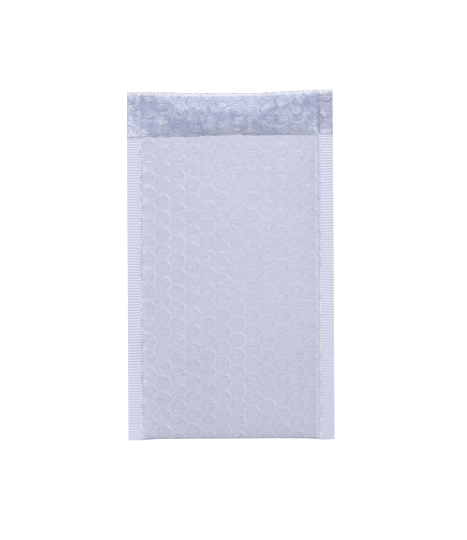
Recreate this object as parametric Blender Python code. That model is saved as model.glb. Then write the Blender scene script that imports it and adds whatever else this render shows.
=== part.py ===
"""A padded mailing envelope, empty, lying on its back with its flap open.

One web of film is folded once at the bottom and welded to itself along both sides, which makes
the pocket. The back runs on past the mouth as the flap. A liner of bubble film, folded the same
way, lies inside the film and covers the inner face of the flap. Its bubbles push the film out in
a staggered pattern of low round tops.

Frame: X across the envelope, Y along it with the flap at +Y, Z up. The origin lies under the
middle of the envelope, on the surface that it rests on. Lengths are in metres.
"""

import math

import bmesh
import bpy
import numpy as np
from mathutils.geometry import delaunay_2d_cdt

# Outline
WIDTH = 0.150
POCKET_LENGTH = 0.221
FLAP_LENGTH = 0.034
SEAM_WIDTH = 0.0105
SEAM_THICKNESS = 0.0012
SEAM_HEIGHT = 0.0040
SEAM_DROOP = 0.0006

# Layers
FILM = 0.0004
EMBOSS = 0.0006
LINER = 0.0020
CRUSHED_LINER = 0.0006
CLEARANCE = 0.0003

# How the empty pocket lies
POCKET_GAP = 0.0048
FOLD_GAP = 0.0005
FOLD_DEPTH = 0.0024
CORNER_REACH = 0.0011
FOLD_RUN = 0.040
FOLD_ROUNDNESS = 4.0
FLAP_SETTLE = 2.0
LEAST_FOLD_DEPTH = 0.0001
FOLD_BITE_SHARE = 0.25
FRONT_SQUARENESS = 6.0
BACK_SQUARENESS = 8.0

# Bubbles
BUBBLE_TOP = 0.0090
ROW_PITCH = 0.0120
COLUMN_PITCH = 0.01083
FIRST_ROW = 0.0033
FLAP_BUBBLE_RISE = 0.0004
FRONT_CORNERS = 8
BACK_CORNERS = 6
BUBBLE_MARGIN = 0.0004
CENTRE_MARGIN = 0.0022
VALLEY_MARGIN = 0.0008

# Ribs pressed into the front of each seam
RIB_PITCH = 0.00196
RIB_DEPTH = 0.0003
LEAST_SMOOTH_END = 0.0005

# The liner's edges
LINER_INSET = 0.0020
LINER_EDGE_INSET = 0.0005
BARE_FILM_EDGE = 0.0016

# Fineness of the smooth stretches
FOLD_STEPS = 4
STATIONS_ACROSS = (0.0, 0.45, 0.75, 0.90)
STATIONS_ALONG = (0.0, 0.08, 0.25, 0.50, 1.0)
STATIONS_ON_FLAP = (0.0, 0.35, 0.70, 1.0)

# Places that follow from the sizes above
HALF_WIDTH = WIDTH / 2
POCKET_HALF = HALF_WIDTH - SEAM_WIDTH
LINER_HALF = POCKET_HALF - LINER_INSET
WALL = EMBOSS + FILM + CLEARANCE + LINER
FOLD_TIP = -(POCKET_LENGTH + FLAP_LENGTH) / 2
FOLD_LINE = FOLD_TIP + FOLD_DEPTH + CORNER_REACH
MOUTH = FOLD_TIP + POCKET_LENGTH
FLAP_END = MOUTH + FLAP_LENGTH
LINER_END = FLAP_END - BARE_FILM_EDGE
WELD = 1e-6
PLAN_UNIT = 0.001


def swell(x, squareness):
    """A superellipse across the pocket: 1 along the middle, 0 at the seams and beyond."""
    out = np.minimum(np.abs(x) / POCKET_HALF, 1.0)
    return np.sqrt(1.0 - out**squareness)


def droop(x):
    """How far a seam hangs below its inner edge."""
    return SEAM_DROOP * np.maximum(np.abs(x) - POCKET_HALF, 0.0) / SEAM_WIDTH


def stack_height(y):
    """Height of the front's bubble tops along the middle: low at the fold, then full."""
    run = np.clip((y - FOLD_LINE) / FOLD_RUN, 0.0, 1.0)
    rise = np.sqrt(1.0 - (1.0 - run) ** FOLD_ROUNDNESS)
    return 2 * WALL + FOLD_GAP + (POCKET_GAP - FOLD_GAP) * rise


def settle(y):
    """1 as far as the mouth, then down to 0 at the flap's end, where the margins reach the ground."""
    return (1.0 - np.clip((y - MOUTH) / FLAP_LENGTH, 0.0, 1.0)) ** FLAP_SETTLE


def front_outer(x, y):
    seam_top = SEAM_HEIGHT + SEAM_THICKNESS / 2
    return seam_top + swell(x, FRONT_SQUARENESS) * (stack_height(y) - seam_top) - droop(x)


def front_inner(x, y):
    crown = stack_height(y) - EMBOSS - FILM
    return SEAM_HEIGHT + swell(x, FRONT_SQUARENESS) * (crown - SEAM_HEIGHT)


def back_outer(x, y):
    seam_bottom = SEAM_HEIGHT - SEAM_THICKNESS / 2
    return ((1.0 - swell(x, BACK_SQUARENESS)) * seam_bottom - droop(x)) * settle(y)


def back_inner(x, y):
    flat = swell(x, BACK_SQUARENESS)
    return back_outer(x, y) + flat * (EMBOSS + FILM) + (1.0 - flat) * SEAM_THICKNESS / 2


def front_valley(x, y):
    return front_outer(x, y) - EMBOSS * swell(x, FRONT_SQUARENESS)


def back_valley(x, y):
    return back_outer(x, y) + EMBOSS * swell(x, BACK_SQUARENESS)


def liner_thickness(x, y):
    """Full in the middle, crushed towards the seams, and never more than the pocket has room for."""
    out = np.minimum(np.abs(x) / POCKET_HALF, 1.0)
    free = LINER - (LINER - CRUSHED_LINER) * out**BACK_SQUARENESS
    room = (front_inner(x, y) - back_inner(x, y) - FOLD_GAP) / 2 - CLEARANCE
    return np.where(y > MOUTH, free, np.minimum(free, room))


def liner_top(x, y):
    """The liner's inner face on the back and the flap."""
    return back_inner(x, y) + CLEARANCE + liner_thickness(x, y)


def liner_ceiling(x, y):
    """The liner's inner face on the front."""
    return front_inner(x, y) - CLEARANCE - liner_thickness(x, y)


def lifted(xs, ys, height):
    """Points of a height function, one for each x and y."""
    xs, ys = np.broadcast_arrays(np.asarray(xs, float), np.asarray(ys, float))
    return np.stack([xs, ys, np.broadcast_to(height(xs, ys), xs.shape)], axis=-1)


def bubbles(low, high):
    """Centres of the bubbles between two places along Y, and the hollow points between them.

    The columns lie evenly about the centre line, and every other one is half a pitch along.
    Three neighbouring bubbles have one hollow point, at the middle of their triangle.
    """
    columns = int((2 * POCKET_HALF - BUBBLE_TOP) / COLUMN_PITCH) + 1
    centres, hollows = [], []
    for column in range(-1, columns):
        x = (column - (columns - 1) / 2) * COLUMN_PITCH
        first = MOUTH - FIRST_ROW - (column % 2) * ROW_PITCH / 2
        lowest = math.ceil((low - ROW_PITCH - first) / ROW_PITCH)
        highest = math.floor((high + ROW_PITCH - first) / ROW_PITCH)
        for row in range(lowest, highest + 1):
            y = first + row * ROW_PITCH
            if column >= 0 and low + CENTRE_MARGIN < y < high - CENTRE_MARGIN:
                centres.append((x, y))
            hollows.append((x + COLUMN_PITCH / 3, y + ROW_PITCH / 2))
            hollows.append((x + COLUMN_PITCH * 2 / 3, y))
    widest = POCKET_HALF - VALLEY_MARGIN
    inside = [
        (x, y)
        for x, y in hollows
        if abs(x) < widest and low + VALLEY_MARGIN < y < high - VALLEY_MARGIN
    ]
    return centres, inside


def bubble_ring(x, y, corners, low, high):
    """Corners of one bubble's flat top, held inside the panel that it lies on."""
    turn = 2 * math.pi * (np.arange(corners) + 0.5) / corners
    reach = POCKET_HALF - BUBBLE_MARGIN
    ring_x = np.clip(x + BUBBLE_TOP / 2 * np.cos(turn), -reach, reach)
    ring_y = np.clip(y + BUBBLE_TOP / 2 * np.sin(turn), low + BUBBLE_MARGIN, high - BUBBLE_MARGIN)
    return np.stack([ring_x, ring_y], axis=1)


def loop_edges(start, count):
    return [(start + i, start + (i + 1) % count) for i in range(count)]


def chain_edges(start, count):
    return [(start + i, start + i + 1) for i in range(count - 1)]


class Skin:
    """Patches of one closed surface. Points of two patches at the same place become one vertex."""

    def __init__(self):
        self.points = []
        self.faces = []

    def add(self, points, faces):
        start = len(self.points)
        self.points.extend(tuple(float(value) for value in point) for point in points)
        self.faces.extend(tuple(start + corner for corner in face) for face in faces)

    def grid(self, rows):
        """Triangles over rows of points, each row as long as the next."""
        rows = np.asarray(rows)
        count, length = rows.shape[:2]
        faces = []
        for row in range(count - 1):
            for column in range(length - 1):
                near = row * length + column
                far = near + length
                faces.append((near, near + 1, far + 1))
                faces.append((near, far + 1, far))
        self.add(rows.reshape(-1, 3), faces)

    def plane(self, plan, points, edges, only_inside=False):
        """Triangles over scattered points, laid out by their plan and keeping the given edges."""
        flat = [(u / PLAN_UNIT, v / PLAN_UNIT) for u, v in plan]
        found = delaunay_2d_cdt(flat, edges, [], 1 if only_inside else 0, WELD)
        source = [ids[0] for ids in found[3]]
        self.add(points, [[source[corner] for corner in face] for face in found[2]])

    def panel(self, border, creases, corners, box, heights):
        """A flat panel with bubbles: its border loop, its creases, and the rings and hollows."""
        top, valley = heights
        centres, hollows = bubbles(*box)
        plan = list(border)
        levels = [top] * len(border)
        edges = loop_edges(0, len(border))
        for crease in creases:
            edges += chain_edges(len(plan), len(crease))
            plan += list(crease)
            levels += [top] * len(crease)
        for x, y in centres:
            ring = bubble_ring(x, y, corners, *box)
            edges += loop_edges(len(plan), corners)
            plan += [tuple(point) for point in ring]
            levels += [top] * corners
        plan += hollows
        levels += [valley] * len(hollows)
        points = [(x, y, float(level(x, y))) for (x, y), level in zip(plan, levels)]
        return plan, points, edges

    def solid(self, name, material):
        mesh = bpy.data.meshes.new(name)
        mesh.from_pydata(self.points, [], self.faces)
        work = bmesh.new()
        work.from_mesh(mesh)
        bmesh.ops.remove_doubles(work, verts=work.verts, dist=WELD)
        bmesh.ops.recalc_face_normals(work, faces=work.faces)
        work.to_mesh(mesh)
        work.free()
        mesh.materials.append(material)
        part = bpy.data.objects.new(name, mesh)
        bpy.context.scene.collection.objects.link(part)
        return part


def stations_across(half_width, edge):
    """Places across the pocket, closer together towards the seams, with both edges of a layer."""
    inner = [share * POCKET_HALF for share in STATIONS_ACROSS if share * POCKET_HALF < edge]
    right = sorted(set(inner + [edge, half_width]))
    return np.array([-x for x in reversed(right) if x > 0] + right)


def stations_along():
    run = [FOLD_LINE + share * FOLD_RUN for share in STATIONS_ALONG]
    return np.array(run + [MOUTH])


def flap_stations(start, end):
    return np.array([start + share * (end - start) for share in STATIONS_ON_FLAP])


def rib_stations():
    """Crests and hollows of the ribs from the mouth down, then the smooth end at the fold."""
    ribs = int((MOUTH - FOLD_LINE - LEAST_SMOOTH_END) / RIB_PITCH)
    places = MOUTH - np.arange(2 * ribs + 1) * RIB_PITCH / 2
    sunk = np.where(np.arange(2 * ribs + 1) % 2 == 1, RIB_DEPTH, 0.0)
    return np.append(places, FOLD_LINE), np.append(sunk, 0.0)


def fold_rows(xs, top, bottom, depth):
    """Rows of points around the bottom fold, a half ellipse at each x from the front to the back."""
    high = top(xs, FOLD_LINE)
    low = bottom(xs, FOLD_LINE)
    rows = []
    for turn in np.linspace(0.0, math.pi, FOLD_STEPS + 1):
        y = FOLD_LINE - depth(xs) * math.sin(turn)
        z = (high + low) / 2 + (high - low) / 2 * math.cos(turn)
        rows.append(np.stack([xs, y, z], axis=-1))
    rows[0] = np.stack([xs, np.full(len(xs), FOLD_LINE), high], axis=-1)
    rows[-1] = np.stack([xs, np.full(len(xs), FOLD_LINE), low], axis=-1)
    return rows


def film_fold_depth(x):
    return FOLD_DEPTH + CORNER_REACH * (1.0 - swell(x, FRONT_SQUARENESS))


def lining_fold_depth(x):
    return (FOLD_DEPTH - EMBOSS - FILM) * swell(x, FRONT_SQUARENESS)


def liner_fold_depth(x):
    return np.maximum(lining_fold_depth(x) - CLEARANCE, LEAST_FOLD_DEPTH)


def liner_fold_bite(x):
    return liner_fold_depth(x) * FOLD_BITE_SHARE


def outer_film(material):
    skin = Skin()
    inside = stations_across(POCKET_HALF, LINER_HALF)
    across = np.concatenate([[-HALF_WIDTH], inside, [HALF_WIDTH]])
    along = stations_along()
    on_flap = flap_stations(MOUTH, FLAP_END)
    rib_y, rib_sunk = rib_stations()

    # Front panel: the border runs along the fold, up one ribbed seam, along the mouth and down
    border = [(x, FOLD_LINE) for x in inside]
    border += [(POCKET_HALF, y) for y in rib_y[-2:0:-1]]
    border += [(x, MOUTH) for x in inside[::-1]]
    border += [(-POCKET_HALF, y) for y in rib_y[1:-1]]
    sunk_at = dict(zip(rib_y, rib_sunk))
    box = (FOLD_LINE, MOUTH)
    plan, points, edges = skin.panel(border, [], FRONT_CORNERS, box, (front_outer, front_valley))
    for index, (x, y) in enumerate(border):
        if abs(x) == POCKET_HALF:
            points[index] = (x, y, points[index][2] - sunk_at[y])
    skin.plane(plan, points, edges)

    # Ribbed seams, their outer edges and their ends at the mouth
    for side in (-1, 1):
        inner_edge, outer_edge = side * POCKET_HALF, side * HALF_WIDTH
        rows = []
        for x in (inner_edge, outer_edge):
            row = lifted(x, rib_y, front_outer)
            row[:, 2] -= rib_sunk
            rows.append(row)
        skin.grid(rows)
        fold_end = np.array(fold_rows(np.array([outer_edge]), front_outer, back_outer, film_fold_depth))
        floor = lifted(outer_edge, along, back_outer)
        step = lifted([outer_edge], [MOUTH], back_inner)
        ring = np.concatenate([rows[1], fold_end[1:-1, 0], floor, step])
        skin.plane(ring[:, 1:], ring, loop_edges(0, len(ring)), only_inside=True)
        end_top = lifted([inner_edge, outer_edge], MOUTH, front_outer)
        end_bottom = lifted([inner_edge, outer_edge], MOUTH, back_inner)
        skin.grid([end_top, end_bottom])
        skin.grid([lifted(outer_edge, on_flap, back_outer), lifted(outer_edge, on_flap, back_inner)])

    # Cut edge of the front at the mouth, and the front's lining face
    skin.grid([lifted(inside, MOUTH, front_outer), lifted(inside, MOUTH, front_inner)])
    skin.grid([lifted(inside, y, front_inner) for y in along])

    # Bottom fold, outside and inside
    skin.grid(fold_rows(across, front_outer, back_outer, film_fold_depth))
    skin.grid(fold_rows(inside, front_inner, back_inner, lining_fold_depth))

    # Lining face of the back and of the flap, and the flap's cut end
    skin.grid([lifted(inside, y, back_inner) for y in along])
    skin.grid([lifted(across, y, back_inner) for y in on_flap])
    skin.grid([lifted(across, FLAP_END, back_outer), lifted(across, FLAP_END, back_inner)])

    # Back panel with the flap: creases run along both seams' inner edges
    sides = np.concatenate([along, on_flap[1:]])
    border = [(x, FOLD_LINE) for x in across]
    border += [(HALF_WIDTH, y) for y in sides[1:-1]]
    border += [(x, FLAP_END) for x in across[::-1]]
    border += [(-HALF_WIDTH, y) for y in sides[-2:0:-1]]
    creases = [[(side * POCKET_HALF, y) for y in sides[1:-1]] for side in (-1, 1)]
    box = (FOLD_LINE, FLAP_END)
    skin.plane(*skin.panel(border, creases, BACK_CORNERS, box, (back_outer, back_valley)))
    return skin.solid("outer_film", material)


def bubble_liner(material):
    skin = Skin()
    across = stations_across(LINER_HALF, LINER_HALF)
    along = stations_along()
    shoulder = MOUTH + CLEARANCE
    on_flap = flap_stations(shoulder, LINER_END)
    flap_half = HALF_WIDTH - LINER_EDGE_INSET
    wide = np.concatenate([[-flap_half, -POCKET_HALF], across, [POCKET_HALF, flap_half]])

    def outer_front(x, y):
        return front_inner(x, y) - CLEARANCE

    def outer_back(x, y):
        return back_inner(x, y) + CLEARANCE

    def raised(x, y):
        return liner_top(x, y) + FLAP_BUBBLE_RISE

    # Both layers in the pocket, the fold between them, and their side edges
    skin.grid([lifted(across, y, outer_front) for y in along])
    skin.grid([lifted(across, y, liner_ceiling) for y in along])
    skin.grid([lifted(across, MOUTH, outer_front), lifted(across, MOUTH, liner_ceiling)])
    back_rows = np.append(along, shoulder)
    skin.grid([lifted(across, y, outer_back) for y in back_rows])
    skin.grid([lifted(across, y, liner_top) for y in back_rows])
    outside = fold_rows(across, outer_front, outer_back, liner_fold_depth)
    inside = fold_rows(across, liner_ceiling, liner_top, liner_fold_bite)
    skin.grid(outside)
    skin.grid(inside)
    for side in (0, -1):
        x = across[side]
        skin.grid([lifted(x, along, outer_front), lifted(x, along, liner_ceiling)])
        skin.grid([lifted(x, back_rows, outer_back), lifted(x, back_rows, liner_top)])
        skin.grid([[row[side] for row in outside], [row[side] for row in inside]])

    # The shoulders, where the liner steps out to the flap's full width
    for ledge in (wide[:3], wide[-3:]):
        skin.grid([lifted(ledge, shoulder, outer_back), lifted(ledge, shoulder, liner_top)])

    # The flap: plain underneath, bubbles on top, and its three cut edges
    skin.grid([lifted(wide, y, outer_back) for y in on_flap])
    for side in (0, -1):
        skin.grid([lifted(wide[side], on_flap, outer_back), lifted(wide[side], on_flap, liner_top)])
    skin.grid([lifted(wide, LINER_END, outer_back), lifted(wide, LINER_END, liner_top)])
    border = [(x, shoulder) for x in wide]
    border += [(flap_half, y) for y in on_flap[1:-1]]
    border += [(x, LINER_END) for x in wide[::-1]]
    border += [(-flap_half, y) for y in on_flap[-2:0:-1]]
    creases = [[(side * POCKET_HALF, y) for y in on_flap[1:-1]] for side in (-1, 1)]
    box = (shoulder, LINER_END)
    plan, points, edges = skin.panel(border, creases, FRONT_CORNERS, box, (raised, liner_top))
    flat = len(border) + sum(len(crease) for crease in creases)
    for index in range(flat):
        x, y, height = points[index]
        points[index] = (x, y, height - FLAP_BUBBLE_RISE)
    skin.plane(plan, points, edges)
    return skin.solid("bubble_liner", material)


def plastic(name, colour, roughness):
    material = bpy.data.materials.new(name)
    material.use_nodes = True
    shader = material.node_tree.nodes["Principled BSDF"]
    shader.inputs["Base Color"].default_value = (*colour, 1.0)
    shader.inputs["Roughness"].default_value = roughness
    shader.inputs["Metallic"].default_value = 0.0
    material.diffuse_color = (*colour, 1.0)
    return material


def build():
    for obj in list(bpy.data.objects):
        bpy.data.objects.remove(obj, do_unlink=True)
    outer_film(plastic("pearl_film", (0.60, 0.60, 0.76), 0.38))
    bubble_liner(plastic("clear_bubble_film", (0.40, 0.44, 0.60), 0.20))


build()
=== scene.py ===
# %% [markdown]
# # A padded mailing envelope, seen from straight above
#
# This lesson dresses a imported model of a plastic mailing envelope. The real thing is one web of
# pearly film, folded at the bottom and welded down both sides, with bubble film inside. What
# makes it look real is small: low round bubbles under the film, fine ribs in the welded seams,
# a wrinkled glossy lining on the open flap, and a soft lamp that all of them catch.

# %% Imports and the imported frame
import math
from types import SimpleNamespace

import bpy
import numpy as np
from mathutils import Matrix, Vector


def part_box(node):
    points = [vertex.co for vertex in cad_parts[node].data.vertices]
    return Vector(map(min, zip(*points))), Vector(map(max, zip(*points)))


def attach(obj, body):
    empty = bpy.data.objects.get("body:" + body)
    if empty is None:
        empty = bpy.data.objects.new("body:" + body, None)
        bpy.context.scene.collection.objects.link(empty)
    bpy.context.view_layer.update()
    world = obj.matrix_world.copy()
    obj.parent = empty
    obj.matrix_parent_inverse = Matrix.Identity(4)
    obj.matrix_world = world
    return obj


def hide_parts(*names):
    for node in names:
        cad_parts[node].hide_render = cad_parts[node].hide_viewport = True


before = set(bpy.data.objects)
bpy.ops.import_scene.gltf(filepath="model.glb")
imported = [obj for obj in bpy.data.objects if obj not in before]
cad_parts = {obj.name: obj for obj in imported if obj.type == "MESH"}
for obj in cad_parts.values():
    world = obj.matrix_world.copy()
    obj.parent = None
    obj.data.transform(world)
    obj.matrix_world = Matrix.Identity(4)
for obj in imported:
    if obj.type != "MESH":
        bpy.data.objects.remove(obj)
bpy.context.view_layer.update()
film_low, film_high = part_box("outer_film")

# %% [markdown]
# ## Sizes
#
# The outline comes from the frame. The other sizes are those of the solids: how wide a seam is,
# how far apart the bubbles lie, how thick a wall is. All lengths are in metres, and a name that
# ends in `_MM` is in millimetres, which suits the patterns.

# %% Driving sizes
HALF_WIDTH = film_high.x
FOLD_TIP = film_low.y
FLAP_END = film_high.y
CROWN = film_high.z
SEAM_WIDTH = 0.0105
SEAM_THICKNESS = 0.0012
SEAM_HEIGHT = 0.0040
SEAM_NIP = 0.0012
SEAM_DROOP = 0.0006
POCKET_LENGTH = 0.221
FILM = 0.0004
EMBOSS = 0.0006
LINER = 0.0020
CRUSHED_LINER = 0.0006
CLEARANCE = 0.0003
FOLD_GAP = 0.0005
FOLD_DEPTH = 0.0024
CORNER_REACH = 0.0011
FOLD_RUN = 0.040
FOLD_ROUNDNESS = 4.0
FRONT_SQUARENESS = 6.0
BACK_SQUARENESS = 8.0
BARE_FILM_EDGE = 0.0016

POCKET_HALF = HALF_WIDTH - SEAM_WIDTH
LINER_HALF = POCKET_HALF - 0.0020
FOLD_LINE = FOLD_TIP + FOLD_DEPTH + CORNER_REACH
MOUTH = FOLD_TIP + POCKET_LENGTH
FLAP_LENGTH = FLAP_END - MOUTH
WALL = EMBOSS + FILM + CLEARANCE + LINER
FOLD_HEIGHT = 2 * WALL + FOLD_GAP
FRONT_RUN = MOUTH - FOLD_LINE
FOLD_ARC = math.pi * math.hypot(FOLD_HEIGHT / 2, FOLD_DEPTH) / math.sqrt(2)
WEB_LENGTH = FRONT_RUN + FOLD_ARC + FLAP_END - FOLD_LINE
print("pocket", round(2 * POCKET_HALF * 1000, 1), "mm wide, mouth at y =", round(MOUTH, 4))

# %% [markdown]
# ## The bubble lattice
#
# Bubble film is made on a drum with round pockets in staggered columns, so one small formula
# places every bubble. The mesh raises each one and records where it lies, and the material
# draws the fine ring where its two films are sealed, with painted shade and painted highlights
# beside it. `u` runs across the web and `s` along it, from the front's cut edge down to the fold
# and back up to the flap.

# %% Bubble lattice
COLUMN_PITCH = 0.01078
ROW_PITCH = 0.011946
FIRST_ROW = 0.0041
COLUMNS = 12
RIM_MM = 4.76
RIM_SPREAD = 0.04
OVAL_SPREAD = 0.05
CENTRE_SPREAD = 0.0003
HEIGHT_SPREAD = 0.25
SHOULDER_IN_MM = 0.60
SHOULDER_OUT_MM = 0.65
DISH = 0.35
DISH_REACH = 0.6
TOP_LEAN = 0.035


def scatter(column, row, seed):
    """A repeatable number from 0 to 1 for each bubble: the fraction of a large sine."""
    return np.mod(np.sin(column * 127.1 + row * 311.7 + seed * 74.7) * 43758.5453, 1.0)


def smooth(value, low, high):
    """0 below low, 1 above high, and the cubic 3t^2 - 2t^3 between them."""
    t = np.clip((value - low) / (high - low), 0.0, 1.0)
    return t * t * (3.0 - 2.0 * t)


def bubble_field(u, s, stretch=1.0):
    """For each place: its way from the nearest bubble's centre in mm, and six chances.

    Column k lies at (k - 5.5) pitches from the middle. Its bubbles start at the first row, plus
    half a pitch in every other column, and repeat each pitch. No two are quite alike, so the
    centres wander a little, and the distance is scaled so that each rim has the same value.
    """
    column = np.floor(u / COLUMN_PITCH + COLUMNS / 2)
    start = FIRST_ROW + np.mod(column, 2) * ROW_PITCH / 2
    row = np.round((s - start) / ROW_PITCH)
    chance = [scatter(column, row, seed) for seed in range(6)]
    across = u - (column - (COLUMNS - 1) / 2) * COLUMN_PITCH - (chance[4] - 0.5) * CENTRE_SPREAD
    along = s - start - row * ROW_PITCH - (chance[5] - 0.5) * CENTRE_SPREAD
    size = stretch * (1.0 + RIM_SPREAD * (chance[0] - 0.5))
    away = np.hypot(across * (1.0 + OVAL_SPREAD * (chance[1] - 0.5)), along) / size
    return away * 1000, across, along, chance


def bubble_relief(field, height):
    """Height of the bubbles over the film between them.

    Each is a plateau with a soft shoulder, a top that is dished a little and leans to one side,
    and a height of its own.
    """
    away, across, along, chance = field
    plateau = 1.0 - smooth(away, RIM_MM - SHOULDER_IN_MM, RIM_MM + SHOULDER_OUT_MM)
    dish = DISH * chance[3] * np.exp(-((away / (DISH_REACH * RIM_MM)) ** 2))
    lean = TOP_LEAN * ((chance[1] - 0.5) * across + (chance[2] - 0.5) * along)
    own_height = height * (1.0 - HEIGHT_SPREAD + HEIGHT_SPREAD * chance[4])
    return plateau * (own_height * (1.0 - dish) + lean)


print(COLUMNS, "columns of bubbles, about", round(WEB_LENGTH / ROW_PITCH), "bubbles in each")


# %% [markdown]
# ## The envelope's own shape
#
# These are the heights that the solids have, without bubbles. Across the pocket each wall is a
# superellipse: flat in the middle and steep at the seams. Along it the stack is low at the fold
# and full after 40 mm.

# %% Heights of the walls
RIPPLES = 4
GOLDEN_ANGLE = 2.399


def swell(x, squareness):
    """1 along the middle, 0 at the seams: the root of 1 minus the distance to a power."""
    return np.sqrt(1.0 - np.minimum(np.abs(x) / POCKET_HALF, 1.0) ** squareness)


def droop(x):
    """How far a seam hangs below its inner edge."""
    return SEAM_DROOP * np.maximum(np.abs(x) - POCKET_HALF, 0.0) / SEAM_WIDTH


def crown(y):
    """Height of the front along the middle."""
    run = np.clip((y - FOLD_LINE) / FOLD_RUN, 0.0, 1.0)
    return FOLD_HEIGHT + (CROWN - FOLD_HEIGHT) * np.sqrt(1.0 - (1.0 - run) ** FOLD_ROUNDNESS)


def settle(y):
    """1 as far as the mouth, 0 at the flap's end: the margins come down to the ground."""
    return (1.0 - np.clip((y - MOUTH) / FLAP_LENGTH, 0.0, 1.0)) ** 2


def front_valley(x, y):
    """Top of the front's film between its bubbles: the seam's top, and the swell above it."""
    seam_top = SEAM_HEIGHT + SEAM_THICKNESS / 2
    full = swell(x, FRONT_SQUARENESS)
    return seam_top + full * (crown(y) - EMBOSS - seam_top) - droop(x)


def back_valley(x, y):
    """Under the back's film between its bubbles: just above the ground, and higher at the seams."""
    flat = swell(x, BACK_SQUARENESS)
    seam_bottom = SEAM_HEIGHT - SEAM_THICKNESS / 2
    return ((1.0 - flat) * seam_bottom - droop(x)) * settle(y) + EMBOSS * flat


def front_lining(x, y):
    """Underside of the front's film, where its liner starts."""
    return SEAM_HEIGHT + swell(x, FRONT_SQUARENESS) * (crown(y) - EMBOSS - FILM - SEAM_HEIGHT)


def back_lining(x, y):
    """Upper side of the back's film, where its liner starts."""
    flat = swell(x, BACK_SQUARENESS)
    floor = ((1.0 - flat) * (SEAM_HEIGHT - SEAM_THICKNESS / 2) - droop(x)) * settle(y)
    return floor + flat * (EMBOSS + FILM) + (1.0 - flat) * SEAM_THICKNESS / 2


def liner_thickness(x, y):
    """Thinner towards the seams by a power of the way out, and never more than half the room."""
    out = np.minimum(np.abs(x) / POCKET_HALF, 1.0)
    free = LINER - (LINER - CRUSHED_LINER) * out**BACK_SQUARENESS
    room = (front_lining(x, y) - back_lining(x, y) - FOLD_GAP) / 2 - CLEARANCE
    return np.where(y > MOUTH, free, np.minimum(free, room))


def ripple(x, y, wavelength, seed):
    """Slow unevenness from -1 to 1: the mean of sine waves that run a golden angle apart."""
    total = np.zeros(np.broadcast(x, y).shape)
    for wave in range(RIPPLES):
        angle = seed * 1.7 + wave * GOLDEN_ANGLE
        stretch = 2 * math.pi / (wavelength * (0.75 + 0.17 * wave))
        total += np.sin((x * math.cos(angle) + y * math.sin(angle)) * stretch + seed * 5.1 + wave)
    return total / RIPPLES


print("the front is", round(1000 * FOLD_HEIGHT, 1), "to", round(1000 * CROWN, 1), "mm high")

# %% [markdown]
# ## From a surface to a closed mesh
#
# A film has two faces and a cut edge. The outer face needs a fine grid for the bubbles, the
# inner face doesn't, so the helper takes every fourth point of the grid for the inner face and
# joins the two along the border with a row of fans. Nothing is left open, and the mesh has few
# faces where nobody looks. Each point also keeps three marks: how far it lies from the nearest
# bubble's centre, in which direction, and where it is on the web. So the material can draw a
# bubble's rim and creases exactly where the mesh has the bubble.

# %% Mesh helpers
COARSE = 4
SHARP_ANGLE = math.radians(55)


def grid_normals(points, toward):
    """Unit normals of a grid: the cross product of its two directions, on the given side."""
    normal = np.cross(np.gradient(points, axis=1), np.gradient(points, axis=0))
    normal /= np.linalg.norm(normal, axis=2, keepdims=True)
    middle = normal[points.shape[0] // 2, points.shape[1] // 2]
    return normal if middle @ np.asarray(toward, float) > 0 else -normal


def grid_quads(index):
    """Corners of each cell of a grid of indices, as four index arrays side by side."""
    corners = (index[:-1, :-1], index[:-1, 1:], index[1:, 1:], index[1:, :-1])
    return np.stack(corners, axis=-1).reshape(-1, 4)


def border(index):
    """The indices around a grid, once around and back to the start."""
    sides = (index[0, :-1], index[:-1, -1], index[-1, :0:-1], index[:0:-1, 0])
    loop = np.concatenate(sides)
    return np.append(loop, loop[0])


def joining_faces(fine, coarse, step):
    """Triangles between two borders: a fan at each coarse point and one to close up to the next."""
    fine_loop, coarse_loop = border(fine), border(coarse)
    hub = np.repeat(coarse_loop[:-1], step)
    fans = np.stack([fine_loop[1:], fine_loop[:-1], hub], axis=-1)
    closing = np.stack([fine_loop[step::step], coarse_loop[:-1], coarse_loop[1:]], axis=-1)
    return np.concatenate([fans, closing])


def turned_in(outer, inner, step):
    """True if the cross product of the outer grid's directions points towards the inner grid."""
    row, column = (count // 2 // step * step for count in outer.shape[:2])
    run = outer[row, column + 1] - outer[row, column]
    drop = outer[row + 1, column] - outer[row, column]
    out = outer[row, column] - inner[row // step, column // step]
    return np.dot(np.cross(run, drop), out) < 0


def keep_marks(mesh, name, marks, step):
    """Stores three numbers for each point of the outer grid, and of the inner grid below it."""
    values = np.concatenate([marks.reshape(-1, 3), marks[::step, ::step].reshape(-1, 3)])
    kept = mesh.attributes.new(name, "FLOAT_VECTOR", "POINT")
    kept.data.foreach_set("vector", values.astype(np.float32).ravel())


def shell(name, outer, inner, material, step=COARSE, **marks):
    """A closed mesh from a fine outer grid and an inner grid of every step-th point.

    Each of the marks becomes an attribute of the mesh that a material can read.
    """
    fine = np.arange(outer[..., 0].size).reshape(outer.shape[:2])
    coarse = fine.size + np.arange(inner[..., 0].size).reshape(inner.shape[:2])
    quads = np.concatenate([grid_quads(fine), grid_quads(coarse)[:, ::-1]])
    triangles = joining_faces(fine, coarse, step)
    if turned_in(outer, inner, step):
        quads, triangles = quads[:, ::-1], triangles[:, ::-1]
    points = np.concatenate([outer.reshape(-1, 3), inner.reshape(-1, 3)])
    mesh = bpy.data.meshes.new(name)
    mesh.from_pydata(points.tolist(), [], quads.tolist() + triangles.tolist())
    for mark, values in marks.items():
        keep_marks(mesh, mark, values, step)
    mesh.shade_smooth()
    mesh.set_sharp_from_angle(angle=SHARP_ANGLE)
    mesh.materials.append(material)
    piece = bpy.data.objects.new(name, mesh)
    bpy.context.scene.collection.objects.link(piece)
    print(name, "has", 2 * len(quads) + len(triangles), "triangles")
    return piece


def even_steps(low, high, spacing, multiple=COARSE):
    """Places from low to high at about a spacing. The number of steps is a multiple."""
    count = max(1, round(abs(high - low) / spacing / multiple)) * multiple
    return np.linspace(low, high, count + 1)


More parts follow.
